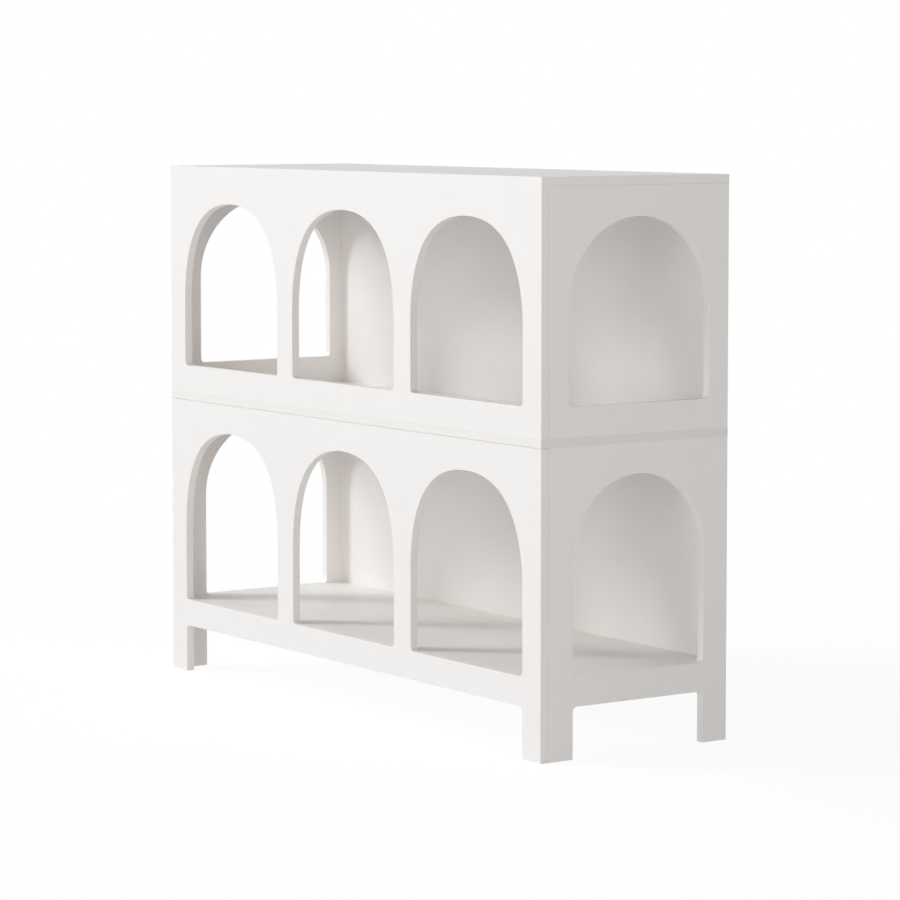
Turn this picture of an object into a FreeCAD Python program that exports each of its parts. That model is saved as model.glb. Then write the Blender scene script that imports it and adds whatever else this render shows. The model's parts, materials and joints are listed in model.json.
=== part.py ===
"""Two-tier arcade bookcase: an upper carcass that stands on a lower carcass with legs.

Both carcasses are butt-jointed lacquered boards. Loose tongues glued into stopped grooves hold
the boards of a carcass together. The upper carcass only rests on the lower one, where four
dowels keep it in place, so it lifts straight off.

Frame: millimetres, +X to the right seen from the front, +Y towards the back, +Z up.
The origin is on the floor under the middle of the bookcase.
"""

import FreeCAD, Part

import os
from dataclasses import dataclass
from typing import Callable

Vector = FreeCAD.Vector
Place = Callable[[float, float], Vector]  # turns a point (u, z) of an outline into one in space

# ---- Overall sizes -------------------------------------------------------------------------
WIDTH = 1200.0
DEPTH = 392.0
LOWER_HEIGHT = 521.0  # floor to the seam where the upper carcass stands
UPPER_HEIGHT = 444.0
BOARD = 15.0  # thickness of every board

# ---- Front arcades -------------------------------------------------------------------------
ARCH_COUNT = 3
PILLAR = 52.0  # width of the pillars, the outer margins and the front legs
FRONT_HEAD_RAIL = 54.0  # solid board above each crown
ARCH_RISE = 189.0  # springing line to crown
ARCH_HAUNCH_PULL = 159.0  # how far the curve's pole stands above the springing line
ARCH_CROWN_PULL = 73.0  # how far the curve's pole stands beside the crown

# ---- Side boards ---------------------------------------------------------------------------
SIDE_HEAD_RAIL = 52.0
LOWER_SIDE_MARGIN = 51.0  # width of the side legs, and of the board beside the lower side arch
UPPER_SIDE_MARGIN = 42.0

# ---- Heights -------------------------------------------------------------------------------
LEG_HEIGHT = 88.0
APRON = 50.0  # lower edge of the apron to the lower sills
UPPER_SILL_RAIL = 51.0  # top of the base board to the upper sills
SILL_CORNER = 8.0  # radius where a jamb meets its sill
NOTCH_CORNER = 8.0  # radius where a leg meets the apron

# ---- Loose tongues and their grooves -------------------------------------------------------
TONGUE = 4.0
TONGUE_IN_EDGE = 12.0
TONGUE_STOP = 40.0  # end of the joint to the end of its tongue
FACE_SKIN = 8.0  # board left behind a groove in its face
GROOVE_CLEARANCE = 0.1  # beside the tongue
GROOVE_GAP = 0.5  # past each end and each long edge of the tongue

# ---- Stacking dowels -----------------------------------------------------------------------
DOWEL_R = 4.0
DOWEL_IN_EDGE = 20.0
DOWEL_STAND = 10.0  # how far a dowel stands above the seam
DOWEL_INSET = 20.0  # end of a side board to the middle of its dowel
GLUED_CLEARANCE = 0.05
SOCKET_CLEARANCE = 0.3
HOLE_GAP = 0.5  # past the end of a dowel

# ---- Sizes and places that follow ----------------------------------------------------------
HEIGHT = LOWER_HEIGHT + UPPER_HEIGHT
HALF_WIDTH = WIDTH / 2
HALF_INSIDE = HALF_WIDTH - BOARD
FRONT = -DEPTH / 2
BACK = DEPTH / 2
SIDE_FRONT = FRONT + BOARD  # the side boards start behind the front arcades
BACK_INNER = BACK - BOARD
SEAM = LOWER_HEIGHT
UPPER_FLOOR = SEAM + BOARD
UPPER_CEILING = HEIGHT - BOARD
UPPER_SILL = UPPER_FLOOR + UPPER_SILL_RAIL
LOWER_SILL = LEG_HEIGHT + APRON  # the shelf is level with it
SHELF_UNDERSIDE = LOWER_SILL - BOARD
ARCH_WIDTH = (WIDTH - (ARCH_COUNT + 1) * PILLAR) / ARCH_COUNT
ARCH_PITCH = ARCH_WIDTH + PILLAR

# Middle planes of the boards whose edges are grooved.
MID_FRONT = FRONT + BOARD / 2
MID_BACK = BACK - BOARD / 2
MID_SIDE = HALF_WIDTH - BOARD / 2
MID_SHELF = LOWER_SILL - BOARD / 2

SIDES = ((-1, "left_side"), (1, "right_side"))
RIGHTWARD = Vector(1, 0, 0)
BACKWARD = Vector(0, 1, 0)
UPWARD = Vector(0, 0, 1)


class Outline:
    """A closed outline, drawn edge by edge in (u, z) on the outer face of a board."""

    def __init__(self, place: Place, u: float, z: float):
        """Start at (u, z) on the face that place stands for."""
        self.place = place
        self.start = (u, z)
        self.here = place(u, z)
        self.edges = []

    def line(self, u: float, z: float) -> None:
        """Add a straight edge to (u, z), unless the outline is there already."""
        end = self.place(u, z)
        if self.here.distanceToPoint(end) > Part.Precision.confusion():
            self.edges.append(Part.LineSegment(self.here, end).toShape())
        self.here = end

    def arc(self, via: tuple, end: tuple) -> None:
        """Add a circular edge through via to end."""
        finish = self.place(*end)
        self.edges.append(Part.Arc(self.here, self.place(*via), finish).toShape())
        self.here = finish

    def rounded_corner(self, corner: tuple, end: tuple) -> None:
        """Add the quarter circle that rounds off a square corner and stops at end."""
        square, finish = self.place(*corner), self.place(*end)
        centre = self.here + finish - square
        radius = (finish - square).Length
        middle = centre + (square - centre).normalize() * radius
        self.edges.append(Part.Arc(self.here, middle, finish).toShape())
        self.here = finish

    def curve(self, *poles: tuple) -> None:
        """Add a Bezier edge whose further poles are given, and whose last pole is its end."""
        bezier = Part.BezierCurve()
        bezier.setPoles([self.here] + [self.place(*pole) for pole in poles])
        self.edges.append(bezier.toShape())
        self.here = self.place(*poles[-1])

    def solid(self, thickness: Vector) -> Part.Shape:
        """Close the outline and extrude it."""
        self.line(*self.start)
        return Part.Face(Part.Wire(self.edges)).extrude(thickness)


@dataclass(frozen=True)
class Arch:
    """One arched opening: straight jambs on a level sill, under a curved head."""

    centre: float
    half_width: float
    sill: float
    crown: float

    @property
    def left(self) -> float:
        """Return the left jamb."""
        return self.centre - self.half_width

    @property
    def right(self) -> float:
        """Return the right jamb."""
        return self.centre + self.half_width

    def draw_head(self, outline: Outline) -> None:
        """Draw a half circle from the right jamb over to the left one."""
        spring = self.crown - self.half_width
        outline.line(self.right, spring)
        outline.arc((self.centre, self.crown), (self.left, spring))

    def cutter(self, place: Place, thickness: Vector) -> Part.Shape:
        """Return the solid that cuts this opening through a board."""
        above_corner = self.sill + SILL_CORNER
        outline = Outline(place, self.left + SILL_CORNER, self.sill)
        outline.line(self.right - SILL_CORNER, self.sill)
        outline.rounded_corner((self.right, self.sill), (self.right, above_corner))
        self.draw_head(outline)
        outline.line(self.left, above_corner)
        outline.rounded_corner((self.left, self.sill), (self.left + SILL_CORNER, self.sill))
        return outline.solid(thickness)


class TallArch(Arch):
    """The front arcades' arch, whose head is taller than a half circle and fuller than an ellipse."""

    def draw_head(self, outline: Outline) -> None:
        """Draw two mirrored curves that meet level at the crown."""
        spring = self.crown - ARCH_RISE
        haunch = spring + ARCH_HAUNCH_PULL
        crown = (self.centre, self.crown)
        outline.line(self.right, spring)
        outline.curve((self.right, haunch), (self.centre + ARCH_CROWN_PULL, self.crown), crown)
        outline.curve(
            (self.centre - ARCH_CROWN_PULL, self.crown), (self.left, haunch), (self.left, spring)
        )


def block(corner: Vector, opposite: Vector) -> Part.Shape:
    """Return the box between two opposite corners."""
    low = Vector(*(min(pair) for pair in zip(corner, opposite)))
    high = Vector(*(max(pair) for pair in zip(corner, opposite)))
    return Part.makeBox(*(high - low), low)


def plain_outline(place: Place, low: float, high: float, bottom: float, top: float) -> Outline:
    """Return a rectangular outline."""
    outline = Outline(place, low, bottom)
    outline.line(high, bottom)
    outline.line(high, top)
    outline.line(low, top)
    return outline


def legged_outline(place: Place, low: float, high: float, leg: float) -> Outline:
    """Return the outline of a lower board that stands on two legs."""
    left, right = low + leg, high - leg
    below_corner = LEG_HEIGHT - NOTCH_CORNER
    outline = Outline(place, low, 0)
    outline.line(left, 0)
    outline.line(left, below_corner)
    outline.rounded_corner((left, LEG_HEIGHT), (left + NOTCH_CORNER, LEG_HEIGHT))
    outline.line(right - NOTCH_CORNER, LEG_HEIGHT)
    outline.rounded_corner((right, LEG_HEIGHT), (right, below_corner))
    outline.line(right, 0)
    outline.line(high, 0)
    outline.line(high, SEAM)
    outline.line(low, SEAM)
    return outline


def on_front(u: float, z: float) -> Vector:
    """Place a point of a front arcade's outline on the bookcase's front."""
    return Vector(u, FRONT, z)


def on_side(side: int) -> Place:
    """Return what places the points of a side board's outline on its outer face."""
    return lambda u, z: Vector(side * HALF_WIDTH, u, z)


def front_arcade(outline: Outline, sill: float, crown: float) -> Part.Shape:
    """Cut a row of arches through a front board."""
    thickness = BACKWARD * BOARD
    board = outline.solid(thickness)
    first = -HALF_WIDTH + PILLAR + ARCH_WIDTH / 2
    for i in range(ARCH_COUNT):
        arch = TallArch(first + i * ARCH_PITCH, ARCH_WIDTH / 2, sill, crown)
        board = board.cut(arch.cutter(on_front, thickness))
    return board


def side_board(
    outline: Outline, side: int, margin: float, sill: float, crown: float
) -> Part.Shape:
    """Cut one half-round arch through a side board, with the same margin on either hand."""
    thickness = RIGHTWARD * (-side * BOARD)
    half_width = (BACK - SIDE_FRONT) / 2 - margin
    arch = Arch((SIDE_FRONT + BACK) / 2, half_width, sill, crown)
    return outline.solid(thickness).cut(arch.cutter(outline.place, thickness))


class Carcass:
    """One free-standing carcass: its boards, what they are cut with, and its small parts."""

    def __init__(self, prefix: str):
        """Start an empty carcass whose nodes' names all begin with prefix."""
        self.prefix = prefix
        self.boards: dict[str, Part.Shape] = {}
        self.cutters: dict[str, list[Part.Shape]] = {}
        self.small_parts: dict[str, list[Part.Shape]] = {}

    def add_board(self, name: str, board: Part.Shape) -> None:
        """Add a board."""
        self.boards[name] = board
        self.cutters[name] = []

    def cut_board(self, name: str, cutter: Part.Shape) -> None:
        """Note a groove or a hole that a board gets."""
        self.cutters[name].append(cutter)

    def add_small_part(self, group: str, solid: Part.Shape) -> None:
        """Add a solid to a group of like parts."""
        self.small_parts.setdefault(group, []).append(solid)

    def join(
        self, group: str, face: str, edge: str, start: Vector, end: Vector, into: Vector
    ) -> None:
        """Join the edge of one board to the face of another with a loose tongue.

        Args:
            group: the group of small parts that the tongue goes to.
            face: the board with a groove in its face.
            edge: the board with a groove in its edge.
            start: one end of the joint, on the mating face, in the middle of the edge.
            end: the other end of the joint.
            into: the direction from the mating face into the board named by edge.
        """
        along = (end - start).normalize()
        across = along.cross(into)
        in_face = BOARD - FACE_SKIN - GROOVE_GAP
        first = start + along * TONGUE_STOP - across * (TONGUE / 2)
        last = end - along * TONGUE_STOP + across * (TONGUE / 2)
        self.add_small_part(group, block(first - into * in_face, last + into * TONGUE_IN_EDGE))

        slack = along * GROOVE_GAP + across * GROOVE_CLEARANCE
        first, last = first - slack, last + slack
        self.cut_board(face, block(first, last - into * (in_face + GROOVE_GAP)))
        self.cut_board(edge, block(first, last + into * (TONGUE_IN_EDGE + GROOVE_GAP)))

    def export(self) -> None:
        """Cut every board, and write each node to its own STEP file."""
        for name, board in self.boards.items():
            export(self.prefix + name, board.cut(self.cutters[name]))
        for name, solids in self.small_parts.items():
            export(self.prefix + name, Part.makeCompound(solids))


def export(node: str, shape: Part.Shape) -> None:
    """Write one node's STEP file and print its size."""
    shape.exportStep(os.path.join("parts", node + ".step"))
    size = shape.BoundBox
    print(f"{node}: {size.XLength:.1f} x {size.YLength:.1f} x {size.ZLength:.1f} mm")


def join_level_board(carcass: Carcass, board: str, z: float, into: Vector) -> None:
    """Join the top or base board to the edges of the front, the back and both sides."""
    front = Vector(-HALF_WIDTH, MID_FRONT, z), Vector(HALF_WIDTH, MID_FRONT, z)
    back = Vector(-HALF_INSIDE, MID_BACK, z), Vector(HALF_INSIDE, MID_BACK, z)
    carcass.join("front_tongues", board, "front_arcade", *front, into)
    carcass.join("back_tongues", board, "back_panel", *back, into)
    for side, name in SIDES:
        x = side * MID_SIDE
        ends = Vector(x, SIDE_FRONT, z), Vector(x, BACK, z)
        carcass.join("side_tongues", board, name, *ends, into)


def join_corners(carcass: Carcass, front_bottom: float, back_bottom: float, top: float) -> None:
    """Join both side boards to the front arcade and to the back panel between them."""
    for side, name in SIDES:
        x = side * MID_SIDE
        ends = Vector(x, SIDE_FRONT, front_bottom), Vector(x, SIDE_FRONT, top)
        carcass.join("front_corner_tongues", "front_arcade", name, *ends, BACKWARD)
        x = side * HALF_INSIDE
        ends = Vector(x, MID_BACK, back_bottom), Vector(x, MID_BACK, top)
        carcass.join("back_corner_tongues", name, "back_panel", *ends, RIGHTWARD * -side)


def upper_carcass() -> Carcass:
    """Build the upper carcass: a box with arches in its front and sides."""
    carcass = Carcass("upper_")
    left, right = -HALF_WIDTH, HALF_WIDTH
    carcass.add_board(
        "top_board", block(Vector(left, FRONT, UPPER_CEILING), Vector(right, BACK, HEIGHT))
    )
    carcass.add_board(
        "base_board", block(Vector(left, FRONT, SEAM), Vector(right, BACK, UPPER_FLOOR))
    )
    outline = plain_outline(on_front, left, right, UPPER_FLOOR, UPPER_CEILING)
    crown = UPPER_CEILING - FRONT_HEAD_RAIL
    carcass.add_board("front_arcade", front_arcade(outline, UPPER_SILL, crown))
    crown = UPPER_CEILING - SIDE_HEAD_RAIL
    for side, name in SIDES:
        outline = plain_outline(on_side(side), SIDE_FRONT, BACK, UPPER_FLOOR, UPPER_CEILING)
        board = side_board(outline, side, UPPER_SIDE_MARGIN, UPPER_SILL, crown)
        carcass.add_board(name, board)
    low = Vector(-HALF_INSIDE, BACK_INNER, UPPER_FLOOR)
    carcass.add_board("back_panel", block(low, Vector(HALF_INSIDE, BACK, UPPER_CEILING)))

    join_level_board(carcass, "top_board", UPPER_CEILING, -UPWARD)
    join_level_board(carcass, "base_board", UPPER_FLOOR, UPWARD)
    join_corners(carcass, UPPER_FLOOR, UPPER_FLOOR, UPPER_CEILING)
    return carcass


def lower_carcass() -> Carcass:
    """Build the lower carcass: legged boards round a shelf, open at the top."""
    carcass = Carcass("lower_")
    outline = legged_outline(on_front, -HALF_WIDTH, HALF_WIDTH, PILLAR)
    crown = SEAM - FRONT_HEAD_RAIL
    carcass.add_board("front_arcade", front_arcade(outline, LOWER_SILL, crown))
    crown = SEAM - SIDE_HEAD_RAIL
    for side, name in SIDES:
        outline = legged_outline(on_side(side), SIDE_FRONT, BACK, LOWER_SIDE_MARGIN)
        board = side_board(outline, side, LOWER_SIDE_MARGIN, LOWER_SILL, crown)
        carcass.add_board(name, board)
    low = Vector(-HALF_INSIDE, BACK_INNER, LEG_HEIGHT)
    carcass.add_board("back_panel", block(low, Vector(HALF_INSIDE, BACK, SEAM)))
    low = Vector(-HALF_INSIDE, SIDE_FRONT, SHELF_UNDERSIDE)
    carcass.add_board("shelf", block(low, Vector(HALF_INSIDE, BACK_INNER, LOWER_SILL)))

    join_corners(carcass, 0, LEG_HEIGHT, SEAM)
    for face, y, into in (
        ("front_arcade", SIDE_FRONT, BACKWARD),
        ("back_panel", BACK_INNER, -BACKWARD),
    ):
        ends = Vector(-HALF_INSIDE, y, MID_SHELF), Vector(HALF_INSIDE, y, MID_SHELF)
        carcass.join("shelf_long_tongues", face, "shelf", *ends, into)
    for side, name in SIDES:
        x = side * HALF_INSIDE
        ends = Vector(x, SIDE_FRONT, MID_SHELF), Vector(x, BACK_INNER, MID_SHELF)
        carcass.join("shelf_end_tongues", name, "shelf", *ends, RIGHTWARD * -side)
    return carcass


def stand_on_dowels(upper: Carcass, lower: Carcass) -> None:
    """Glue dowels into the lower side boards, with loose sockets above them in the base board."""
    seat_depth = DOWEL_IN_EDGE + HOLE_GAP
    socket_depth = DOWEL_STAND + HOLE_GAP
    for side, name in SIDES:
        for y in (SIDE_FRONT + DOWEL_INSET, BACK - DOWEL_INSET):
            at = Vector(side * MID_SIDE, y, SEAM)
            length = DOWEL_IN_EDGE + DOWEL_STAND
            foot = at - UPWARD * DOWEL_IN_EDGE
            lower.add_small_part("stacking_dowels", Part.makeCylinder(DOWEL_R, length, foot))
            seat = Part.makeCylinder(DOWEL_R + GLUED_CLEARANCE, seat_depth, at, -UPWARD)
            lower.cut_board(name, seat)
            socket = Part.makeCylinder(DOWEL_R + SOCKET_CLEARANCE, socket_depth, at, UPWARD)
            upper.cut_board("base_board", socket)


def main() -> None:
    """Build both carcasses and write their nodes."""
    os.makedirs("parts", exist_ok=True)
    upper, lower = upper_carcass(), lower_carcass()
    stand_on_dowels(upper, lower)
    upper.export()
    lower.export()


if __name__ == "__main__":
    main()
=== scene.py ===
"""Stacking arcade bookcase: the lacquered boards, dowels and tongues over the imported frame.

The upper carcass is a closed box with arches in its front and ends. It stands on the lower
carcass, whose boards run down to the floor as legs. Everything is in metres, in the frame's
own coordinates: +X to the right, +Y to the back, +Z up.
"""

import json
import logging
import math
from dataclasses import dataclass
from enum import Enum
from typing import Any, Optional

import bmesh
import bpy
from mathutils import Matrix, Vector

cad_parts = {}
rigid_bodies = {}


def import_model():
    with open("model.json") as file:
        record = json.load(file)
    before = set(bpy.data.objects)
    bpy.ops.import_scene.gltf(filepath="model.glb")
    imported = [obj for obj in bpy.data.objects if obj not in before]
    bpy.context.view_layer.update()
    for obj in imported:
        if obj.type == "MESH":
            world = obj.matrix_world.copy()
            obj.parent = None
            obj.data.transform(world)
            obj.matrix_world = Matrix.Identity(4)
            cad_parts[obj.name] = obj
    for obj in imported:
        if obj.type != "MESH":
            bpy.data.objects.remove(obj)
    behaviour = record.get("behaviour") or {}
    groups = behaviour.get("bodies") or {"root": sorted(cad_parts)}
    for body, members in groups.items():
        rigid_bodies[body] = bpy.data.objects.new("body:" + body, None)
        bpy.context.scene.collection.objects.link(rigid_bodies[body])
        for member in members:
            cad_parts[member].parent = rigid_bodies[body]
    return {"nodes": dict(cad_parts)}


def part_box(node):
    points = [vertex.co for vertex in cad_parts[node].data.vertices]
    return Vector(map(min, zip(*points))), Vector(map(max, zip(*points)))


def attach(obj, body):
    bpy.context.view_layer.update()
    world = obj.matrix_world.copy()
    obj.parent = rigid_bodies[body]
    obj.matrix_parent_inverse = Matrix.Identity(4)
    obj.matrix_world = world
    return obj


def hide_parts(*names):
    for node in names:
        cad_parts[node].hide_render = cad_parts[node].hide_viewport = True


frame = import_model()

LOG = logging.getLogger("bookcase")
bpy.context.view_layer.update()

MM = 0.001
BOARD = 15 * MM  # thickness of every board
HALF_WIDTH = 600 * MM
FRONT = -196 * MM
BACK = 196 * MM
SEAM = 521 * MM  # where the upper carcass stands on the lower one
SIDE_FRONT = FRONT + BOARD  # the end boards start behind the arcades
PILLAR = 52 * MM  # between two arches of an arcade, and beside the outer ones

# An arris is the corner between two faces of a board, softened before it is lacquered.
OPEN_ARRIS = 0.6 * MM  # round the arches and the legs
GLUED_ARRIS = 0.25 * MM  # where a board meets the next one
CORNER_LINE = 0.35 * MM  # what the film leaves open along a glued corner
TOP_LINE = 0.12 * MM  # and under a glued board
SHADOW_GAP = 0.4 * MM  # the lower arcade's top stands clear, so the upper carcass rests on the ends
GLUE_REACH = 0.1 * MM  # an edge that lies closer than this to a board's outline is glued
ARRIS_STEPS = 3  # facets across an arris
ARCH_STEPS = 30  # chords in half an arch's head
CORNER_STEPS = 7  # and in a rounded inner corner
SHARP = math.radians(30)  # two faces that meet more sharply than this have an arris
FLAT = math.radians(1)  # two that meet more bluntly than this are one face
FACING = 0.5  # share of a face's normal along an axis, past which it faces that way
WELD = 0.001 * MM  # points closer than this are one
CIRCLE_PULL = 0.5523  # a quarter circle's handle, in radii from its end

WHITE = (1.0, 1.0, 1.0, 1.0)


class Side(Enum):
    """The two ends of the bookcase."""

    LEFT = -1
    RIGHT = 1


class Socket(Enum):
    """Kinds of input that a geometry tree may have."""

    GEOMETRY = "NodeSocketGeometry"
    NUMBER = "NodeSocketFloat"
    COUNT = "NodeSocketInt"
    MATERIAL = "NodeSocketMaterial"


class Tint(Enum):
    """Colours of the light in the studio."""

    NEUTRAL = "#FCFFFD"
    HAZY = "#F4F7FE"
    WARM = "#FDFDF8"
    COOL = "#EEF2FF"


def linear(colour: str) -> tuple[float, ...]:
    """Turn an sRGB hex colour into linear light.

    Args:
        colour: six hex digits after a hash sign.

    Returns:
        Red, green, blue and an alpha of 1.
    """
    shares = [int(colour[i : i + 2], 16) / 255 for i in (1, 3, 5)]
    return tuple(s / 12.92 if s <= 0.04045 else ((s + 0.055) / 1.055) ** 2.4 for s in shares) + (1.0,)


def add_node(tree: Any, kind: str, settings: Optional[dict] = None, inputs: Optional[dict] = None) -> Any:
    """Add a node to a tree, with its settings and links.

    Args:
        tree: a material's or a modifier's node tree.
        kind: the node's type.
        settings: values of the node's own properties.
        inputs: for each input's name or place, its value or the output that feeds it. A list
            of outputs feeds one input that takes several.

    Returns:
        The node.
    """
    node = tree.nodes.new(kind)
    for name, value in (settings or {}).items():
        setattr(node, name, value)
    for name, value in (inputs or {}).items():
        for source in value if isinstance(value, list) else [value]:
            if isinstance(source, bpy.types.NodeSocket):
                tree.links.new(source, node.inputs[name])
            else:
                node.inputs[name].default_value = source
    return node


def new_material(name: str) -> tuple[bpy.types.Material, Any, Any]:
    """Start an empty material.

    Args:
        name: the finish it stands for.

    Returns:
        The material, its tree and its output node.
    """
    material = bpy.data.materials.new(name)
    material.use_nodes = True
    material.node_tree.nodes.clear()
    return material, material.node_tree, add_node(material.node_tree, "ShaderNodeOutputMaterial")


def set_surface(tree: Any, output: Any, colour: Any, roughness: Any, ior: float, reliefs: list) -> None:
    """Give a material its surface.

    Args:
        tree: the material's node tree.
        output: its output node.
        colour: the output that holds its colour.
        roughness: its roughness, or the output that holds that.
        ior: its index of refraction.
        reliefs: for each layer of relief, the output that holds its shape and its height in
            millimetres.
    """
    normal = {}
    for height, height_mm in reliefs:
        bump = add_node(
            tree, "ShaderNodeBump", None,
            {"Height": height, "Strength": 1.0, "Distance": height_mm * MM, **normal},
        )
        normal = {"Normal": bump.outputs["Normal"]}
    shader = add_node(
        tree, "ShaderNodeBsdfPrincipled", None,
        {"Base Color": colour, "Roughness": roughness, "IOR": ior, **normal},
    )
    tree.links.new(shader.outputs["BSDF"], output.inputs["Surface"])


@dataclass(frozen=True)
class SprayedLacquer:
    """Polyurethane lacquer, sprayed on fibreboard and left satin.

    The eye sees an even white with a soft, wide sheen. Close to, the film has the low ripple
    of a spray gun, and its gloss drifts a little where the gun's passes overlap. On a machined
    edge the film is drawn a shade greyer and duller than on a face.
    """

    name: str
    colour: str
    drift_colour: str
    roughness: float
    roughness_drift: float = 0.03
    ior: float = 1.5
    ripple_mm: float = 7.0  # real spray ripple is about 2.5 mm wide, drawn coarser to show
    relief_mm: float = 0.012  # how high the ripple stands, and each fibre bundle
    pass_mm: float = 90.0  # width of one pass of the gun
    fibre_mm: float = 0.0  # width of the fibre bundles that show through; none on a face
    fibre_flatness: float = 6.0  # how many times wider than thick the bundles are

    def material(self) -> bpy.types.Material:
        """Build the finish's material.

        Returns:
            The material.
        """
        material, tree, output = new_material(self.name)
        place = add_node(tree, "ShaderNodeTexCoord").outputs["Object"]
        passes = add_node(
            tree, "ShaderNodeTexNoise", None,
            {"Vector": place, "Scale": 1 / (self.pass_mm * MM), "Detail": 2.0, "Roughness": 0.45},
        )
        colour = add_node(
            tree, "ShaderNodeMix", {"data_type": "RGBA"},
            {0: passes.outputs["Fac"], 6: linear(self.colour), 7: linear(self.drift_colour)},
        )
        gloss = add_node(
            tree, "ShaderNodeMapRange", None,
            {
                "Value": passes.outputs["Fac"], "From Min": 0.3, "From Max": 0.7,
                "To Min": self.roughness - self.roughness_drift,
                "To Max": self.roughness + self.roughness_drift,
            },
        )
        ripple = add_node(
            tree, "ShaderNodeTexNoise", None,
            {"Vector": place, "Scale": 1 / (self.ripple_mm * MM), "Detail": 1.5, "Roughness": 0.4},
        )
        reliefs = [(ripple.outputs["Fac"], self.relief_mm)]
        if self.fibre_mm:
            stretched = add_node(
                tree, "ShaderNodeMapping", None,
                {"Vector": place, "Scale": (1.0, 1.0, self.fibre_flatness)},
            )
            fibres = add_node(
                tree, "ShaderNodeTexNoise", None,
                {"Vector": stretched.outputs["Vector"], "Scale": 1 / (self.fibre_mm * MM), "Detail": 3.0},
            )
            reliefs.append((fibres.outputs["Fac"], self.relief_mm))
        set_surface(tree, output, colour.outputs[2], gloss.outputs["Result"], self.ior, reliefs)
        return material


@dataclass(frozen=True)
class BirchPlywood:
    """Raw birch plywood, sawn into tongues.

    The eye sees a pale dry wood, its fine grain drawn out along the sheet, in bands of
    layers that are by turns paler and darker.
    """

    name: str = "birch_plywood_sawn"
    pale: str = "#D9BE94"
    dark: str = "#B08C5C"
    band_mm: float = 16.336  # the real layers are 1.3 mm thick, drawn coarser to show
    grain_mm: float = 0.9  # the real pores are about 0.1 mm wide, drawn coarser to show
    grain_squeeze: float = 0.08  # of the coordinates along the sheet, which lengthens the grain
    relief_mm: float = 0.03
    roughness: float = 0.72
    ior: float = 1.45

    def material(self) -> bpy.types.Material:
        """Build the finish's material.

        Returns:
            The material.
        """
        material, tree, output = new_material(self.name)
        place = add_node(tree, "ShaderNodeTexCoord").outputs["Object"]
        along = add_node(
            tree, "ShaderNodeMapping", None,
            {"Vector": place, "Scale": (self.grain_squeeze, self.grain_squeeze, 1.0)},
        )
        grain = add_node(
            tree, "ShaderNodeTexNoise", None,
            {"Vector": along.outputs["Vector"], "Scale": 1 / (self.grain_mm * MM), "Detail": 4.0},
        )
        # At a scale of 1, a diagonal wave turns 10 radians in each unit along an axis.
        layers = add_node(
            tree, "ShaderNodeTexWave", {"wave_type": "BANDS", "bands_direction": "DIAGONAL"},
            {"Vector": place, "Scale": math.tau / (10 * self.band_mm * MM), "Distortion": 0.6},
        )
        tone = add_node(
            tree, "ShaderNodeMath", {"operation": "MULTIPLY"},
            {0: grain.outputs["Fac"], 1: layers.outputs["Fac"]},
        )
        colour = add_node(
            tree, "ShaderNodeMix", {"data_type": "RGBA"},
            {0: tone.outputs["Value"], 6: linear(self.pale), 7: linear(self.dark)},
        )
        reliefs = [(grain.outputs["Fac"], self.relief_mm)]
        set_surface(tree, output, colour.outputs[2], self.roughness, self.ior, reliefs)
        return material


@dataclass(frozen=True)
class RawBeech:
    """Raw beech, turned and fluted into dowels.

    The eye sees a warm pinkish wood with short dark flecks along the grain.
    """

    name: str = "beech_turned_raw"
    pale: str = "#E0C3A2"
    dark: str = "#C9A57E"
    fleck: str = "#9A6D48"
    grain_mm: float = 1.2
    fleck_mm: float = 0.8  # the real flecks are about 0.2 mm wide, drawn coarser to show
    grain_squeeze: float = 0.12  # of the coordinates along the dowel, which lengthens the flecks
    relief_mm: float = 0.02
    roughness: float = 0.62
    ior: float = 1.45

    def material(self) -> bpy.types.Material:
        """Build the finish's material.

        Returns:
            The material.
        """
        material, tree, output = new_material(self.name)
        place = add_node(tree, "ShaderNodeTexCoord").outputs["Object"]
        along = add_node(
            tree, "ShaderNodeMapping", None,
            {"Vector": place, "Scale": (1.0, 1.0, self.grain_squeeze)},
        )
        grain = add_node(
            tree, "ShaderNodeTexNoise", None,
            {"Vector": along.outputs["Vector"], "Scale": 1 / (self.grain_mm * MM), "Detail": 3.0},
        )
        wood = add_node(
            tree, "ShaderNodeMix", {"data_type": "RGBA"},
            {0: grain.outputs["Fac"], 6: linear(self.pale), 7: linear(self.dark)},
        )
        cells = add_node(
            tree, "ShaderNodeTexVoronoi", {"feature": "F1"},
            {"Vector": along.outputs["Vector"], "Scale": 1 / (self.fleck_mm * MM)},
        )
        flecks = add_node(
            tree, "ShaderNodeMapRange", None,
            {"Value": cells.outputs["Distance"], "From Min": 0.16, "From Max": 0.1, "To Max": 0.7},
        )
        colour = add_node(
            tree, "ShaderNodeMix", {"data_type": "RGBA"},
            {0: flecks.outputs["Result"], 6: wood.outputs[2], 7: linear(self.fleck)},
        )
        reliefs = [(grain.outputs["Fac"], self.relief_mm)]
        set_surface(tree, output, colour.outputs[2], self.roughness, self.ior, reliefs)
        return material


@dataclass(frozen=True)
class Palette:
    """The materials that the bookcase is made of."""

    face: bpy.types.Material
    edge: bpy.types.Material  # the base board's long narrow faces, drawn a shade darker than its faces
    end: bpy.types.Material  # and its short ones, darker still
    tongue: bpy.types.Material
    dowel: bpy.types.Material


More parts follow.
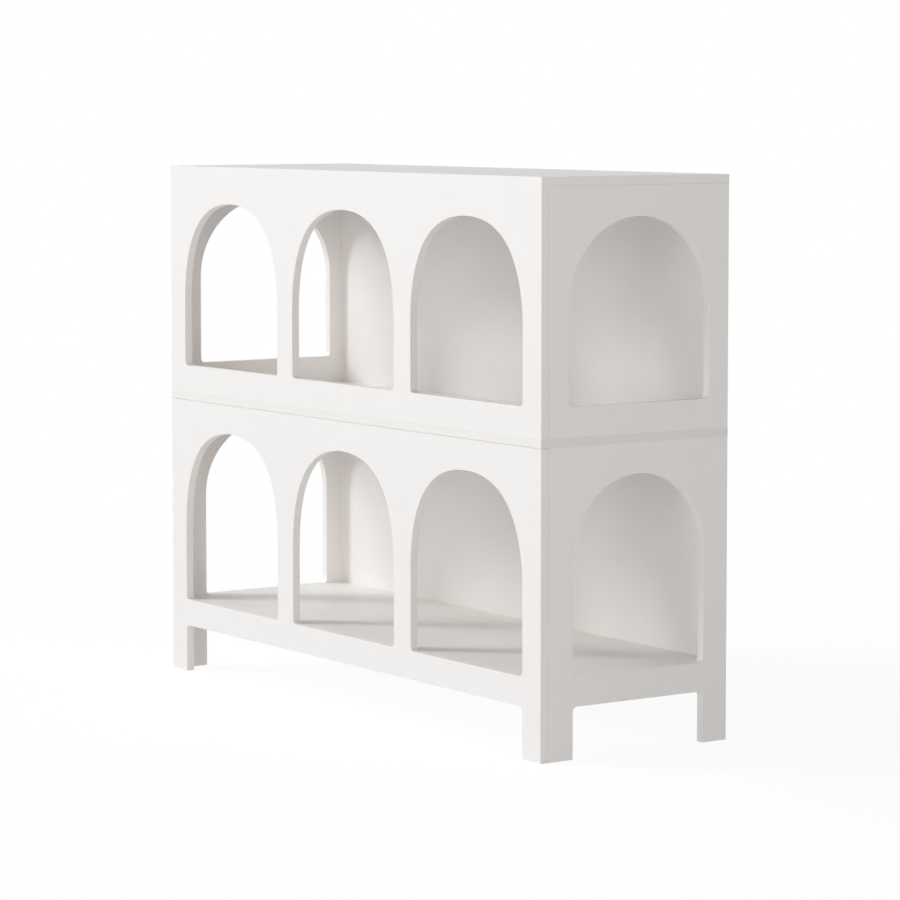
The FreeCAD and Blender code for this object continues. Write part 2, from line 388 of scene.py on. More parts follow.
class GeometryRule:
    """A geometry tree with named inputs, which are set before it is first evaluated."""

    def __init__(self, name: str, sockets: dict[str, Socket]) -> None:
        """Start a tree.

        Args:
            name: the tree's name.
            sockets: the kind of each named input, besides the geometry itself.
        """
        self.tree = bpy.data.node_groups.new(name, "GeometryNodeTree")
        face = self.tree.interface
        face.new_socket("Geometry", in_out="INPUT", socket_type=Socket.GEOMETRY.value)
        face.new_socket("Geometry", in_out="OUTPUT", socket_type=Socket.GEOMETRY.value)
        self.ids = {
            key: face.new_socket(key, in_out="INPUT", socket_type=kind.value).identifier
            for key, kind in sockets.items()
        }
        self.given = {socket.name: socket for socket in self.add("NodeGroupInput").outputs}

    def add(self, kind: str, settings: Optional[dict] = None, inputs: Optional[dict] = None) -> Any:
        """Add a node to the tree, as add_node does."""
        return add_node(self.tree, kind, settings, inputs)

    def work_out(self, known: dict, rows: tuple) -> dict:
        """Work out new values, one after the other.

        Args:
            known: values by name, besides the tree's inputs.
            rows: each new value's name, its operation and the two terms of that, which are
                names of values or plain numbers.

        Returns:
            The tree's inputs and all the values, by name.
        """
        known = {**self.given, **known}
        for name, operation, a, b in rows:
            terms = {0: known.get(a, a), 1: known.get(b, b)}
            known[name] = self.add("ShaderNodeMath", {"operation": operation}, terms).outputs["Value"]
        return known

    def modify(self, piece: bpy.types.Object, values: dict) -> None:
        """Put the tree on an object.

        Args:
            piece: the object that holds the starting geometry.
            values: the value of each named input.
        """
        modifier = piece.modifiers.new(self.tree.name, "NODES")
        modifier.node_group = self.tree
        for key, value in values.items():
            modifier[self.ids[key]] = value

    def finish(self, geometry: Any) -> None:
        """Make all of a geometry real, give it its material and send it out of the tree.

        Args:
            geometry: the output that holds it.
        """
        real = self.add("GeometryNodeRealizeInstances", None, {"Geometry": geometry})
        dressed = self.add(
            "GeometryNodeSetMaterial", None,
            {"Geometry": real.outputs["Geometry"], "Material": self.given["Finish"]},
        )
        self.add("NodeGroupOutput", None, {"Geometry": dressed.outputs["Geometry"]})


class ArchedBoardRule(GeometryRule):
    """The tree that cuts a row of arches through a board.

    The board lies in its own plane, X along it and Y up, with its inner face at Z 0. The
    tree's geometry is its closed outline. An arch is two mirrored curves over straight jambs,
    whose feet are rounded off at the sill.
    """

    def __init__(self) -> None:
        """Build the tree."""
        numbers = (
            "Pitch", "Half Width", "Sill", "Spring", "Crown", "Haunch Pull", "Crown Pull",
            "Sill Corner", "Thickness", "Glued Width", "Glued Bottom", "Glued Top", "Glued Arris",
        )
        sockets = {name: Socket.NUMBER for name in numbers}
        super().__init__("arched_board", {"Arches": Socket.COUNT, **sockets, "Finish": Socket.MATERIAL})
        values = self.work_out_values()
        points = self.place_points(values)
        rings = self.repeat_arch(self.draw_arch(points), points)
        self.finish(self.mark_arrises(self.thicken(rings), values["weight"]))

    def work_out_values(self) -> dict:
        """Work out what the arches' points and the arrises' widths need.

        Returns:
            The tree's inputs and the new values, by name.
        """
        middle = self.add("GeometryNodeInputPosition").outputs["Position"]
        place = self.add("ShaderNodeSeparateXYZ", None, {"Vector": middle})
        known = {
            "x": place.outputs["X"],
            "y": place.outputs["Y"],
            "angle": self.add("GeometryNodeInputMeshEdgeAngle").outputs["Unsigned Angle"],
        }
        # An arris on the board's outline is glued, so its share of the open arris's width is
        # the glued one's.
        rows = (
            ("left jamb", "MULTIPLY", "Half Width", -1.0),
            ("haunch", "ADD", "Spring", "Haunch Pull"),
            ("other arches", "SUBTRACT", "Arches", 1.0),
            ("row length", "MULTIPLY", "other arches", "Pitch"),
            ("first arch", "MULTIPLY", "row length", -0.5),
            ("sharp", "GREATER_THAN", "angle", SHARP),
            ("from middle", "ABSOLUTE", "x", 0.0),
            ("from side", "SUBTRACT", "Glued Width", "from middle"),
            ("from top", "SUBTRACT", "Glued Top", "y"),
            ("from bottom", "SUBTRACT", "y", "Glued Bottom"),
            ("from level", "MINIMUM", "from top", "from bottom"),
            ("from glue", "MINIMUM", "from side", "from level"),
            ("free", "GREATER_THAN", "from glue", GLUE_REACH),
            ("share", "MAXIMUM", "free", "Glued Arris"),
            ("weight", "MULTIPLY", "sharp", "share"),
        )
        return self.work_out(known, rows)

    def place_points(self, values: dict) -> dict:
        """Place the points that the arches hang on, in the board's plane.

        Args:
            values: the values to place them by, by name.

        Returns:
            The outputs that hold the points, by name.
        """
        points = {}
        for name, x, y in (
            ("right spring", "Half Width", "Spring"),
            ("right haunch", "Half Width", "haunch"),
            ("beside crown", "Crown Pull", "Crown"),
            ("crown", 0.0, "Crown"),
            ("left spring", "left jamb", "Spring"),
            ("left foot", "left jamb", "Sill"),
            ("right foot", "Half Width", "Sill"),
            ("row start", "first arch", 0.0),
            ("row step", "Pitch", 0.0),
        ):
            place = {"X": values.get(x, x), "Y": values.get(y, y)}
            points[name] = self.add("ShaderNodeCombineXYZ", None, place).outputs["Vector"]
        return points

    def draw_arch(self, points: dict) -> Any:
        """Draw one arch.

        Args:
            points: the points to draw it by, by name.

        Returns:
            An output that holds it as a closed ring of edges.
        """
        head = self.add(
            "GeometryNodeCurvePrimitiveBezierSegment", {"mode": "POSITION"},
            {
                "Resolution": ARCH_STEPS, "Start": points["right spring"], "End": points["crown"],
                "Start Handle": points["right haunch"], "End Handle": points["beside crown"],
            },
        ).outputs["Curve"]
        mirrored = self.add("GeometryNodeTransform", None, {"Geometry": head, "Scale": (-1.0, 1.0, 1.0)})
        feet = ("left spring", "left foot", "right foot", "right spring")
        corners = self.add(
            "GeometryNodeIndexSwitch", {"data_type": "VECTOR"},
            {"Index": self.add("GeometryNodeInputIndex").outputs["Index"]},
        )
        while len(corners.index_switch_items) < len(feet):
            corners.index_switch_items.new()
        for i, name in enumerate(feet):
            self.tree.links.new(points[name], corners.inputs[i + 1])
        line = self.add("GeometryNodeMeshLine", None, {"Count": len(feet)})
        placed = self.add(
            "GeometryNodeSetPosition", None,
            {"Geometry": line.outputs["Mesh"], "Position": corners.outputs["Output"]},
        )
        jambs = self.add("GeometryNodeMeshToCurve", None, {"Mesh": placed.outputs["Geometry"]})
        rounded = self.add(
            "GeometryNodeFilletCurve", {"mode": "POLY"},
            {"Curve": jambs.outputs["Curve"], "Count": CORNER_STEPS, "Radius": self.given["Sill Corner"]},
        )
        parts = self.add(
            "GeometryNodeJoinGeometry", None,
            {"Geometry": [head, mirrored.outputs["Geometry"], rounded.outputs["Curve"]]},
        )
        ring = self.add("GeometryNodeCurveToMesh", None, {"Curve": parts.outputs["Geometry"]})
        welded = self.add(
            "GeometryNodeMergeByDistance", None, {"Geometry": ring.outputs["Mesh"], "Distance": WELD}
        )
        return welded.outputs["Geometry"]

    def repeat_arch(self, arch: Any, points: dict) -> Any:
        """Repeat the arch along the board.

        Args:
            arch: the output that holds one arch.
            points: the row's start and step, by name.

        Returns:
            An output that holds the rings of the outline and of all arches.
        """
        row = self.add(
            "GeometryNodeMeshLine", None,
            {
                "Count": self.given["Arches"], "Start Location": points["row start"],
                "Offset": points["row step"],
            },
        )
        arches = self.add(
            "GeometryNodeInstanceOnPoints", None, {"Points": row.outputs["Mesh"], "Instance": arch}
        )
        apart = self.add("GeometryNodeRealizeInstances", None, {"Geometry": arches.outputs["Instances"]})
        rings = self.add(
            "GeometryNodeJoinGeometry", None,
            {"Geometry": [self.given["Geometry"], apart.outputs["Geometry"]]},
        )
        return rings.outputs["Geometry"]

    def thicken(self, rings: Any) -> Any:
        """Fill the board between its rings, and give it its thickness.

        Args:
            rings: the output that holds the rings.

        Returns:
            An output that holds the closed board.
        """
        loops = self.add("GeometryNodeMeshToCurve", None, {"Mesh": rings})
        flat = self.add("GeometryNodeFillCurve", None, {"Curve": loops.outputs["Curve"]}).outputs["Mesh"]
        lifted = self.add(
            "GeometryNodeExtrudeMesh", None,
            {"Mesh": flat, "Offset Scale": self.given["Thickness"], "Individual": False},
        )
        inner = self.add("GeometryNodeFlipFaces", None, {"Mesh": flat})
        shell = self.add(
            "GeometryNodeJoinGeometry", None,
            {"Geometry": [lifted.outputs["Mesh"], inner.outputs["Mesh"]]},
        )
        board = self.add(
            "GeometryNodeMergeByDistance", None,
            {"Geometry": shell.outputs["Geometry"], "Distance": WELD},
        )
        return board.outputs["Geometry"]

    def mark_arrises(self, board: Any, weight: Any) -> Any:
        """Give each arris its share of the bevel's width.

        Args:
            board: the output that holds the board.
            weight: the output that holds an edge's share.

        Returns:
            An output that holds the marked board, shaded smooth.
        """
        marked = self.add(
            "GeometryNodeStoreNamedAttribute", {"data_type": "FLOAT", "domain": "EDGE"},
            {"Geometry": board, "Name": "bevel_weight_edge", "Value": weight},
        )
        smooth = self.add("GeometryNodeSetShadeSmooth", None, {"Geometry": marked.outputs["Geometry"]})
        return smooth.outputs["Geometry"]


class FlutedDowelRule(GeometryRule):
    """The tree that stands a fluted dowel on each point.

    The tree's geometry is the points that the dowels' lower ends stand on.
    """

    def __init__(self) -> None:
        """Build the tree."""
        super().__init__(
            "fluted_dowels",
            {
                "Flutes": Socket.COUNT, "Radius": Socket.NUMBER, "Flute Depth": Socket.NUMBER,
                "Length": Socket.NUMBER, "Rings": Socket.COUNT, "Chamfer": Socket.NUMBER,
                "Chamfer Slope": Socket.NUMBER, "Finish": Socket.MATERIAL,
            },
        )
        placed = self.add(
            "GeometryNodeInstanceOnPoints", None,
            {"Points": self.given["Geometry"], "Instance": self.draw_dowel(self.work_out_values())},
        )
        self.finish(placed.outputs["Instances"])

    def work_out_values(self) -> dict:
        """Work out the depth of the flutes and the taper of the ends.

        Returns:
            The tree's inputs and the new values, by name.
        """
        along = self.add("GeometryNodeSplineParameter").outputs["Length"]
        # The radius is scaled down towards the nearer end, over the length of the chamfer.
        rows = (
            ("inner radius", "SUBTRACT", "Radius", "Flute Depth"),
            ("to far end", "SUBTRACT", "Length", "along"),
            ("from end", "MINIMUM", "along", "to far end"),
            ("inside chamfer", "SUBTRACT", "Chamfer", "from end"),
            ("taper", "DIVIDE", "inside chamfer", "Radius"),
            ("real taper", "MAXIMUM", "taper", 0.0),
            ("taken off", "MULTIPLY", "real taper", "Chamfer Slope"),
            ("scale", "SUBTRACT", 1.0, "taken off"),
        )
        return self.work_out({"along": along}, rows)

    def draw_dowel(self, values: dict) -> Any:
        """Draw one dowel.

        Args:
            values: the values to draw it by, by name.

        Returns:
            An output that holds the closed dowel, standing on the origin.
        """
        section = self.add(
            "GeometryNodeCurveStar", None,
            {
                "Points": values["Flutes"], "Inner Radius": values["inner radius"],
                "Outer Radius": values["Radius"],
            },
        )
        end = self.add("ShaderNodeCombineXYZ", None, {"Z": values["Length"]})
        axis = self.add("GeometryNodeCurvePrimitiveLine", None, {"End": end.outputs["Vector"]})
        steps = self.add(
            "GeometryNodeResampleCurve", None, {"Curve": axis.outputs["Curve"], "Count": values["Rings"]}
        )
        tapered = self.add(
            "GeometryNodeSetCurveRadius", None, {"Curve": steps.outputs["Curve"], "Radius": values["scale"]}
        )
        dowel = self.add(
            "GeometryNodeCurveToMesh", None,
            {
                "Curve": tapered.outputs["Curve"], "Profile Curve": section.outputs["Curve"],
                "Fill Caps": True,
            },
        )
        return dowel.outputs["Mesh"]


def new_piece(name: str, mesh: bpy.types.Mesh) -> bpy.types.Object:
    """Put a mesh into the scene as an object at the origin.

    Args:
        name: the object's name.
        mesh: its mesh, in place.

    Returns:
        The object.
    """
    piece = bpy.data.objects.new(name, mesh)
    bpy.context.scene.collection.objects.link(piece)
    return piece


def settle(piece: bpy.types.Object) -> None:
    """Turn what an object's modifiers make of it into its own plain mesh, with no empty slot.

    Args:
        piece: the object.
    """
    bpy.context.view_layer.update()
    graph = bpy.context.evaluated_depsgraph_get()
    mesh = bpy.data.meshes.new_from_object(
        piece.evaluated_get(graph), preserve_all_data_layers=True, depsgraph=graph
    )
    mesh.name = piece.name
    for i in reversed(range(len(mesh.materials))):
        if mesh.materials[i] is None:
            mesh.materials.pop(index=i)
    piece.modifiers.clear()
    piece.data = mesh


def soften_arrises(piece: bpy.types.Object) -> None:
    """Round off the marked arrises, and keep the flat faces flat in the light.

    Args:
        piece: a board whose edges carry their share of the open arris's width.
    """
    bevel = piece.modifiers.new("arrises", "BEVEL")
    bevel.width = OPEN_ARRIS
    bevel.segments = ARRIS_STEPS
    bevel.limit_method = "WEIGHT"
    bevel.loop_slide = False
    bevel.use_clamp_overlap = False
    bevel.harden_normals = True


def ride_for(piece: bpy.types.Object, body: str, slot: str, *nodes: str) -> None:
    """Let a piece stand for CAD nodes on one of the carcasses, and report it.

    Args:
        piece: the finished piece.
        body: the body that it moves with.
        slot: not used.
        nodes: the CAD nodes that it stands for.
    """
    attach(piece, body)
    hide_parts(*nodes)
    LOG.info("%s: %d faces, rides on %s", piece.name, len(piece.data.polygons), body)


@dataclass(frozen=True)
class ArchRow:
    """A row of like arches in a board, as heights above the floor and widths along it."""

    count: int
    half_width: float
    sill: float
    crown: float
    rise: float  # from the spring of the head to its crown
    haunch_pull: float  # how far the head's curve is drawn straight up from the spring
    crown_pull: float  # and level from the crown
    pitch: float = 0.0  # from the middle of one arch to that of the next
    sill_corner: float = 8 * MM  # round at the foot of a jamb

    @classmethod
    def tall(cls, sill: float, crown: float) -> "ArchRow":
        """Describe an arcade's three tall arches, which flatten towards the crown.

        Args:
            sill: the height of their sills.
            crown: the height of their crowns.

        Returns:
            The row.
        """
        return cls(
            count=3, half_width=165.3333 * MM, sill=sill, crown=crown,
            rise=189 * MM, haunch_pull=159 * MM, crown_pull=73 * MM, pitch=382.6667 * MM,
        )

    @classmethod
    def half_round(cls, half_width: float, sill: float, crown: float) -> "ArchRow":
        """Describe a single arch with a half-round head.

        Args:
            half_width: half the opening, and so the radius of the head.
            sill: the height of its sill.
            crown: the height of its crown.

        Returns:
            The row of one.
        """
        pull = CIRCLE_PULL * half_width
        return cls(
            count=1, half_width=half_width, sill=sill, crown=crown,
            rise=half_width, haunch_pull=pull, crown_pull=pull,
        )


@dataclass(frozen=True)
class ArchedBoard:
    """A board with a row of arches, and with legs where it runs down to the floor."""

    node: str
    body: str
    low: Vector  # the middle of its foot, on its inner face
    along: Vector
    width: float
    bottom: float
    top: float
    arches: ArchRow
    leg_width: float  # nothing where the board has no legs
    leg_height: float = 88 * MM
    notch_corner: float = 8 * MM  # round between a leg and the rail over it

    def outline(self) -> list[tuple[float, float]]:
        """Work out the board's outline.

        Returns:
            Its corners, X along it and Y up, anticlockwise.
        """
        half = self.width / 2
        if not self.leg_width:
            return [(-half, self.bottom), (half, self.bottom), (half, self.top), (-half, self.top)]
        inner, r = half - self.leg_width, self.notch_corner
        arc = []
        for i in range(CORNER_STEPS + 1):
            turn = math.pi / 2 * i / CORNER_STEPS
            arc.append((-inner + r - r * math.cos(turn), self.leg_height - r + r * math.sin(turn)))
        mirrored = [(-x, z) for x, z in reversed(arc)]
        feet = [(-half, 0.0), (-inner, 0.0)] + arc + mirrored + [(inner, 0.0), (half, 0.0)]
        return feet + [(half, self.top), (-half, self.top)]

    def place(self) -> Matrix:
        """Work out where the board stands.

        Returns:
            The turn and move there from the board's own plane.
        """
        up = Vector((0, 0, 1))
        turn = Matrix((self.along, up, self.along.cross(up))).transposed().to_4x4()
        return Matrix.Translation(self.low) @ turn

    def build(self, rule: GeometryRule, palette: Palette) -> bpy.types.Object:
        """Build the board from its outline and its row of arches.

        Args:
            rule: the tree that cuts the arches.
            palette: the bookcase's materials.

        Returns:
            The board, in place.
        """
        corners = self.outline()
        mesh = bpy.data.meshes.new(self.node + "_lacquered")
        ring = [(i, (i + 1) % len(corners)) for i in range(len(corners))]
        mesh.from_pydata([(x, y, 0.0) for x, y in corners], ring, [])
        board = new_piece(mesh.name, mesh)
        row = self.arches
        rule.modify(
            board,
            {
                "Arches": row.count, "Pitch": row.pitch, "Half Width": row.half_width,
                "Sill": row.sill, "Spring": row.crown - row.rise, "Crown": row.crown,
                "Haunch Pull": row.haunch_pull, "Crown Pull": row.crown_pull,
                "Sill Corner": row.sill_corner, "Thickness": BOARD,
                "Glued Width": self.width / 2, "Glued Bottom": self.bottom, "Glued Top": self.top,
                "Glued Arris": GLUED_ARRIS / OPEN_ARRIS, "Finish": palette.face,
            },
        )
        soften_arrises(board)
        settle(board)
        board.data.transform(self.place())
        ride_for(board, self.body, "white_lacquer", self.node)
        return board


@dataclass(frozen=True)
class PlainBoard:
    """A board without arches. It keeps its hidden grooves and holes, and gets its arrises."""

    node: str
    body: str
    darker_edges: bool  # its narrow faces are drawn a shade darker than its faces

    def mark_arrises(self, shape: bmesh.types.BMesh) -> None:
        """Give the outer arrises their width, and keep every arris crisp in the light.

        Args:
            shape: the board's shape, with its doubles merged.
        """
        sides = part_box(self.node)
        weight = shape.edges.layers.float.new("bevel_weight_edge")
        for line in shape.edges:
            ends = [vert.co for vert in line.verts]
            outer = [
                axis for axis in range(3)
                if any(all(abs(end[axis] - side[axis]) < WELD for end in ends) for side in sides)
            ]
            if len(outer) == 2:
                line[weight] = GLUED_ARRIS / OPEN_ARRIS
            line.smooth = line.calc_face_angle(0.0) < SHARP

    def build(self, palette: Palette) -> bpy.types.Object:
        """Build the board from its node's own shape.

        Args:
            palette: the bookcase's materials.

        Returns:
            The board, in place.
        """
        low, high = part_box(self.node)
        thin = min(range(3), key=lambda axis: high[axis] - low[axis])
        shape = bmesh.new()
        shape.from_mesh(frame["nodes"][self.node].data)
        bmesh.ops.remove_doubles(shape, verts=shape.verts, dist=WELD)
        bmesh.ops.dissolve_limit(shape, angle_limit=FLAT, verts=shape.verts, edges=shape.edges)
        self.mark_arrises(shape)
        finishes = [palette.face, palette.edge, palette.end] if self.darker_edges else [palette.face]
        for face in shape.faces:
            face.smooth = True
            finish = palette.face
            # The narrow faces get the darker edge colour, and a darker one still where they face the ends.
            if self.darker_edges and abs(face.normal[thin]) <= FACING:
                finish = palette.end if abs(face.normal.x) > FACING else palette.edge
            face.material_index = finishes.index(finish)
        mesh = bpy.data.meshes.new(self.node + "_lacquered")
        shape.to_mesh(mesh)
        shape.free()
        for finish in finishes:
            mesh.materials.append(finish)
        board = new_piece(mesh.name, mesh)
        soften_arrises(board)
        settle(board)
        ride_for(board, self.body, "white_lacquer", self.node)
        return board


@dataclass(frozen=True)
class Carcass:
    """What the two carcasses share: an arcade, two arched ends, plain boards and tongues."""

    tier: str
    bottom: float
    top: float
    front_gap: float  # over the arcade
    end_gap: float  # over the end boards
    front_arches: ArchRow
    end_arch: ArchRow
    front_leg: float
    end_leg: float
    plain_boards: tuple[str, ...]
    darker_edged_boards: tuple[str, ...]  # those whose narrow faces are drawn a shade darker than their faces
    tongues: tuple[str, ...]

    @property
    def body(self) -> str:
        """Return the body that the carcass's pieces ride on."""
        return f"{self.tier}_carcass"

    def arcade(self) -> ArchedBoard:
        """Describe the front board, which spans the whole width.

        Returns:
            The board.
        """
        return ArchedBoard(
            node=f"{self.tier}_front_arcade", body=self.body,
            low=Vector((0, SIDE_FRONT, 0)), along=Vector((1, 0, 0)), width=2 * HALF_WIDTH,
            bottom=self.bottom, top=self.top - self.front_gap,
            arches=self.front_arches, leg_width=self.front_leg,
        )

    def end_board(self, side: Side) -> ArchedBoard:
        """Describe an end board, which stands behind the arcade.

        Args:
            side: which end it closes.

        Returns:
            The board.
        """
        return ArchedBoard(
            node=f"{self.tier}_{side.name.lower()}_side", body=self.body,
            low=Vector((side.value * (HALF_WIDTH - BOARD), (SIDE_FRONT + BACK) / 2, 0)),
            along=Vector((0, side.value, 0)), width=BACK - SIDE_FRONT - 2 * CORNER_LINE,
            bottom=self.bottom, top=self.top - self.end_gap,
            arches=self.end_arch, leg_width=self.end_leg,
        )

    def build(self, rule: GeometryRule, palette: Palette) -> None:
        """Build the boards, and dress the tongues, which stay as the frame has them.

        Args:
            rule: the tree that cuts the arches.
            palette: the bookcase's materials.
        """
        self.arcade().build(rule, palette)
        for side in Side:
            self.end_board(side).build(rule, palette)
        for node in self.plain_boards:
            PlainBoard(node, self.body, darker_edges=node in self.darker_edged_boards).build(palette)
        for node in self.tongues:
            for slot in frame["nodes"][node].material_slots:
                slot.material = palette.tongue
            LOG.info("%s: kept from the frame", node)


@dataclass(frozen=True)
class LowerCarcass(Carcass):
    """The lower carcass: legged boards round a shelf, open at the top."""

    tier: str = "lower"
    bottom: float = 0.0
    top: float = SEAM
    front_gap: float = SHADOW_GAP
    end_gap: float = 0.0
    sill: float = 138 * MM
    front_arches: ArchRow = ArchRow.tall(sill, crown=467 * MM)
    end_arch: ArchRow = ArchRow.half_round(137.5 * MM, sill, crown=469 * MM)
    front_leg: float = PILLAR
    end_leg: float = 51 * MM
    plain_boards: tuple[str, ...] = ("lower_back_panel", "lower_shelf")
    darker_edged_boards: tuple[str, ...] = ()
    tongues: tuple[str, ...] = (
        "lower_front_corner_tongues", "lower_back_corner_tongues",
        "lower_shelf_long_tongues", "lower_shelf_end_tongues",
    )


@dataclass(frozen=True)
class UpperCarcass(Carcass):
    """The upper carcass: a closed box with arches in its front and ends."""

    tier: str = "upper"
    bottom: float = 536 * MM
    top: float = 950 * MM
    front_gap: float = 0.0
    end_gap: float = TOP_LINE
    sill: float = 587 * MM
    front_arches: ArchRow = ArchRow.tall(sill, crown=896 * MM)
    end_arch: ArchRow = ArchRow.half_round(146.5 * MM, sill, crown=898 * MM)
    front_leg: float = 0.0
    end_leg: float = 0.0
    plain_boards: tuple[str, ...] = ("upper_top_board", "upper_back_panel", "upper_base_board")
    darker_edged_boards: tuple[str, ...] = ("upper_base_board",)
    tongues: tuple[str, ...] = (
        "upper_front_tongues", "upper_back_tongues", "upper_side_tongues",
        "upper_front_corner_tongues", "upper_back_corner_tongues",
    )


@dataclass(frozen=True)
class StackingDowels:
    """Four fluted dowels in the lower end boards, which keep the upper carcass in place."""

    node: str = "lower_stacking_dowels"
    body: str = "lower_carcass"
    radius: float = 4 * MM
    flutes: int = 20
    flute_depth: float = 0.35 * MM
    length: float = 30 * MM
    rings: int = 31  # sections along a dowel, a millimetre apart
    chamfer: float = 1.5 * MM
    chamfer_slope: float = 0.8  # what the radius loses over a unit of the chamfer's length
    inset: float = 20 * MM  # end of a board to the middle of its dowel

    def build(self, palette: Palette) -> bpy.types.Object:
        """Stand the four dowels in their seats.

        Args:
            palette: the bookcase's materials.

        Returns:
            The dowels, in place.
        """
        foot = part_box(self.node)[0].z
        x = HALF_WIDTH - BOARD / 2
        rows = (SIDE_FRONT + self.inset, BACK - self.inset)
        mesh = bpy.data.meshes.new("fluted_stacking_dowels")
        mesh.from_pydata([(side.value * x, y, foot) for side in Side for y in rows], [], [])
        dowels = new_piece(mesh.name, mesh)
        FlutedDowelRule().modify(
            dowels,
            {
                "Flutes": self.flutes, "Radius": self.radius, "Flute Depth": self.flute_depth,
                "Length": self.length, "Rings": self.rings, "Chamfer": self.chamfer,
                "Chamfer Slope": self.chamfer_slope, "Finish": palette.dowel,
            },
        )
        settle(dowels)
        ride_for(dowels, self.body, "beech_dowel", self.node)
        return dowels


@dataclass(frozen=True)
class SoftBox:
    """A soft rectangular lamp, hung round the bookcase and turned to its middle."""

    name: str
    azimuth: float  # degrees to the right, from straight in front of the bookcase
    elevation: float  # degrees above the middle of the bookcase
    width: float
    height: float
    power: float  # in watts
    tint: Tint
    distance: float
    aim: tuple[float, float, float] = (0.0, 0.0, 0.45)

    def build(self) -> None:
        """Hang the lamp."""
        turn, rise = math.radians(self.azimuth), math.radians(self.elevation)
        away = Vector((math.sin(turn) * math.cos(rise), -math.cos(turn) * math.cos(rise), math.sin(rise)))
        data = bpy.data.lights.new(self.name, "AREA")
        data.shape = "RECTANGLE"
        data.size = self.width
        data.size_y = self.height
        data.energy = self.power
        data.color = linear(self.tint.value)[:3]
        lamp = bpy.data.objects.new(self.name, data)
        lamp.location = Vector(self.aim) + self.distance * away
        lamp.rotation_euler = (-away).to_track_quat("-Z", "Y").to_euler()
        bpy.context.scene.collection.objects.link(lamp)


@dataclass(frozen=True)
class StudioCamera:
    """The camera, to the right of the bookcase and a little above it."""

    sensor_mm: float = 36.0
    lens_mm: float = 139.43
    shift: float = -0.08  # how far up the frame lies, in its own widths
    place: tuple[float, float, float] = (5.1801, -3.5377, 1.0891)
    tilt: float = 4.556  # degrees below level
    turn: float = 55.389  # degrees to the left, from looking straight back
    reach: float = 200.0  # how far it sees

    def build(self) -> None:
        """Set up the camera, and look through it."""
        data = bpy.data.cameras.new("camera")
        data.sensor_width = self.sensor_mm
        data.lens = self.lens_mm
        data.shift_y = self.shift
        data.clip_end = self.reach
        camera = bpy.data.objects.new("camera", data)
        camera.location = self.place
        camera.rotation_euler = (math.radians(90 - self.tilt), 0.0, math.radians(self.turn))
        bpy.context.scene.collection.objects.link(camera)
        bpy.context.scene.camera = camera


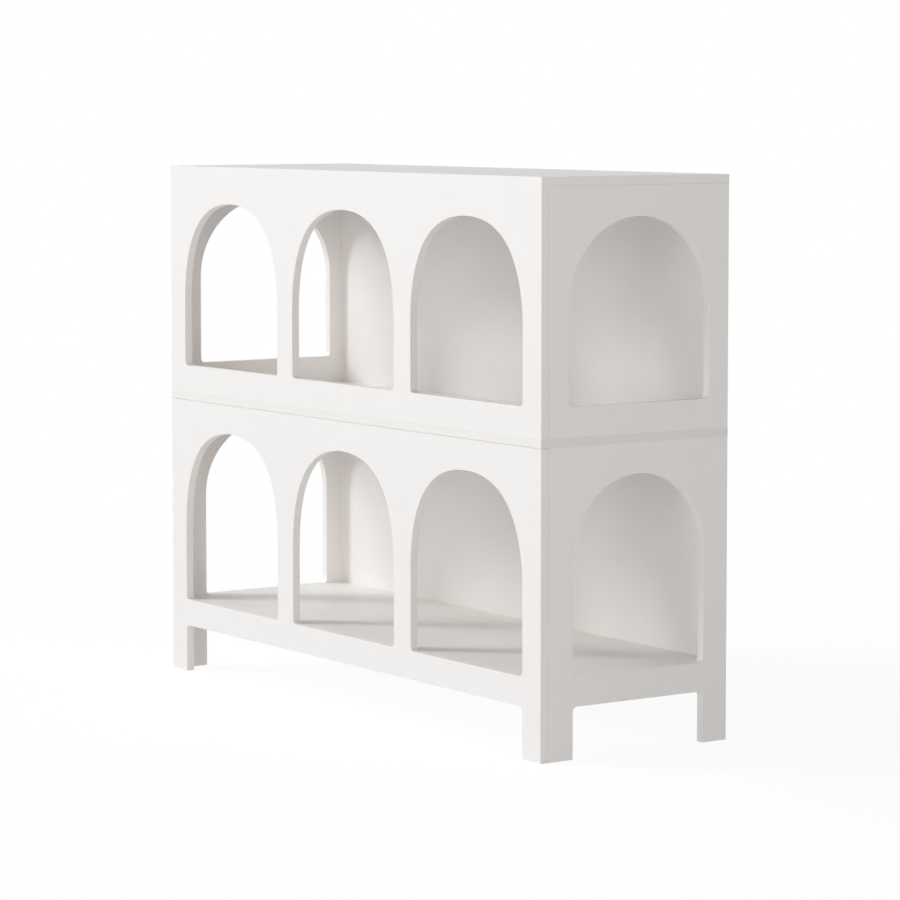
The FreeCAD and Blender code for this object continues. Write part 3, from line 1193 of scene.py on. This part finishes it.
@dataclass(frozen=True)
class Studio:
    """A white room: a pale floor, soft lamps and the camera."""

    floor_half: float = 30.0
    floor_colour: str = "#B4B4B4"  # with the glow, it is as pale in the open as white paint
    floor_glow: float = 0.28  # light that the floor gives off by itself, also under the bookcase
    floor_light: float = 0.72  # light on the bare floor near the bookcase
    shadow_share: float = 0.1  # how deep the bookcase's shadow looks, against a real one
    shadow_near: float = 1.2  # from here on outwards the shadow fades
    shadow_far: float = 3.5
    sky: float = 0.12  # how bright the sky is as light
    sky_tint: Tint = Tint.COOL
    lamps: tuple[SoftBox, ...] = (
        SoftBox("key_box", -43.0, 24.0, 2.4, 3.0, 504.0, Tint.NEUTRAL, 14.0),
        SoftBox("near_left_box", -60.0, 18.0, 4.8, 4.8, 80.0, Tint.NEUTRAL, 14.0),
        SoftBox("left_box", -78.0, 30.0, 6.3, 6.3, 400.0, Tint.NEUTRAL, 14.0),
        SoftBox("high_box", -40.0, 44.0, 4.6, 4.6, 532.0, Tint.HAZY, 14.0),
        SoftBox("front_box", 6.0, 6.0, 3.6, 3.6, 50.0, Tint.COOL, 8.0),
        SoftBox("near_right_box", 30.0, 8.0, 3.6, 3.6, 144.0, Tint.WARM, 8.0),
        SoftBox("right_box", 82.0, 10.0, 3.6, 3.6, 117.0, Tint.WARM, 8.0),
        SoftBox("back_box", 180.0, 10.0, 6.3, 6.3, 660.0, Tint.NEUTRAL, 14.0),
    )
    camera: StudioCamera = StudioCamera()

    def seen(self, tree: Any) -> Any:
        """Sort out the rays which should find plain white.

        Args:
            tree: the floor's or the sky's node tree.

        Returns:
            An output that is 1 for those rays.
        """
        path = add_node(tree, "ShaderNodeLightPath").outputs
        seen = path["Is Camera Ray"]
        for other in ("Is Glossy Ray", "Is Transmission Ray"):
            either = add_node(tree, "ShaderNodeMath", {"operation": "MAXIMUM"}, {0: seen, 1: path[other]})
            seen = either.outputs["Value"]
        return seen

    def build_floor(self) -> None:
        """Lay a pale painted floor, which the camera sees as white with a faint shadow."""
        material, tree, output = new_material("studio_floor_painted")
        paint = add_node(tree, "ShaderNodeBsdfDiffuse", None, {"Color": linear(self.floor_colour)})
        glow = add_node(tree, "ShaderNodeEmission", None, {"Color": WHITE, "Strength": self.floor_glow})
        lit = add_node(
            tree, "ShaderNodeAddShader", None, {0: paint.outputs["BSDF"], 1: glow.outputs["Emission"]}
        )
        tone = 1.0 / self.floor_light
        shaded = add_node(tree, "ShaderNodeBsdfDiffuse", None, {"Color": (tone, tone, tone, 1.0)})
        white = add_node(tree, "ShaderNodeEmission", None, {"Color": WHITE, "Strength": 1.0})
        away = add_node(
            tree, "ShaderNodeVectorMath", {"operation": "LENGTH"},
            {0: add_node(tree, "ShaderNodeTexCoord").outputs["Object"]},
        )
        share = add_node(
            tree, "ShaderNodeMapRange", {"interpolation_type": "SMOOTHSTEP"},
            {
                "Value": away.outputs["Value"], "From Min": self.shadow_near, "From Max": self.shadow_far,
                "To Min": self.shadow_share, "To Max": 0.0,
            },
        )
        bright = add_node(
            tree, "ShaderNodeMixShader", None,
            {0: share.outputs["Result"], 1: white.outputs["Emission"], 2: shaded.outputs["BSDF"]},
        )
        mix = add_node(
            tree, "ShaderNodeMixShader", None,
            {0: self.seen(tree), 1: lit.outputs["Shader"], 2: bright.outputs["Shader"]},
        )
        tree.links.new(mix.outputs["Shader"], output.inputs["Surface"])
        half = self.floor_half
        corners = [(-half, -half, 0), (half, -half, 0), (half, half, 0), (-half, half, 0)]
        mesh = bpy.data.meshes.new("studio_floor")
        mesh.from_pydata(corners, [], [(0, 1, 2, 3)])
        mesh.materials.append(material)
        new_piece("studio_floor", mesh)

    def build_sky(self) -> None:
        """Surround the bookcase with an even white, dimmer as light than it looks."""
        world = bpy.data.worlds.new("studio")
        world.use_nodes = True
        bpy.context.scene.world = world
        tree = world.node_tree
        tree.nodes.clear()
        light = add_node(
            tree, "ShaderNodeBackground", None, {"Color": linear(self.sky_tint.value), "Strength": self.sky}
        )
        white = add_node(tree, "ShaderNodeBackground", None, {"Color": WHITE, "Strength": 1.0})
        mix = add_node(
            tree, "ShaderNodeMixShader", None,
            {0: self.seen(tree), 1: light.outputs["Background"], 2: white.outputs["Background"]},
        )
        add_node(tree, "ShaderNodeOutputWorld", None, {"Surface": mix.outputs["Shader"]})

    def build(self) -> None:
        """Build the studio."""
        self.build_floor()
        self.build_sky()
        for lamp in self.lamps:
            lamp.build()
        self.camera.build()
        bpy.context.scene.view_settings.view_transform = "Standard"


def main() -> None:
    """Build the bookcase and the studio."""
    logging.basicConfig(level=logging.INFO, format="%(message)s")
    # The real fibre bundles are about 0.5 mm wide, drawn coarser to show.
    finishes = {
        "face": SprayedLacquer("lacquer_sprayed_on_face", "#F6F2EF", "#F3EFEC", roughness=0.48),
        # Edges and ends are drawn a shade darker and duller than the faces.
        "edge": SprayedLacquer("lacquer_sprayed_on_edge", "#F3EFEB", "#F0ECE8", roughness=0.52, fibre_mm=2.0),
        "end": SprayedLacquer("lacquer_sprayed_on_end", "#F0E9E5", "#EDE6E2", roughness=0.55, fibre_mm=2.0),
        "tongue": BirchPlywood(),
        "dowel": RawBeech(),
    }
    palette = Palette(**{use: finish.material() for use, finish in finishes.items()})
    rule = ArchedBoardRule()
    LowerCarcass().build(rule, palette)
    UpperCarcass().build(rule, palette)
    StackingDowels().build(palette)
    Studio().build()


if __name__ == "__main__":
    main()
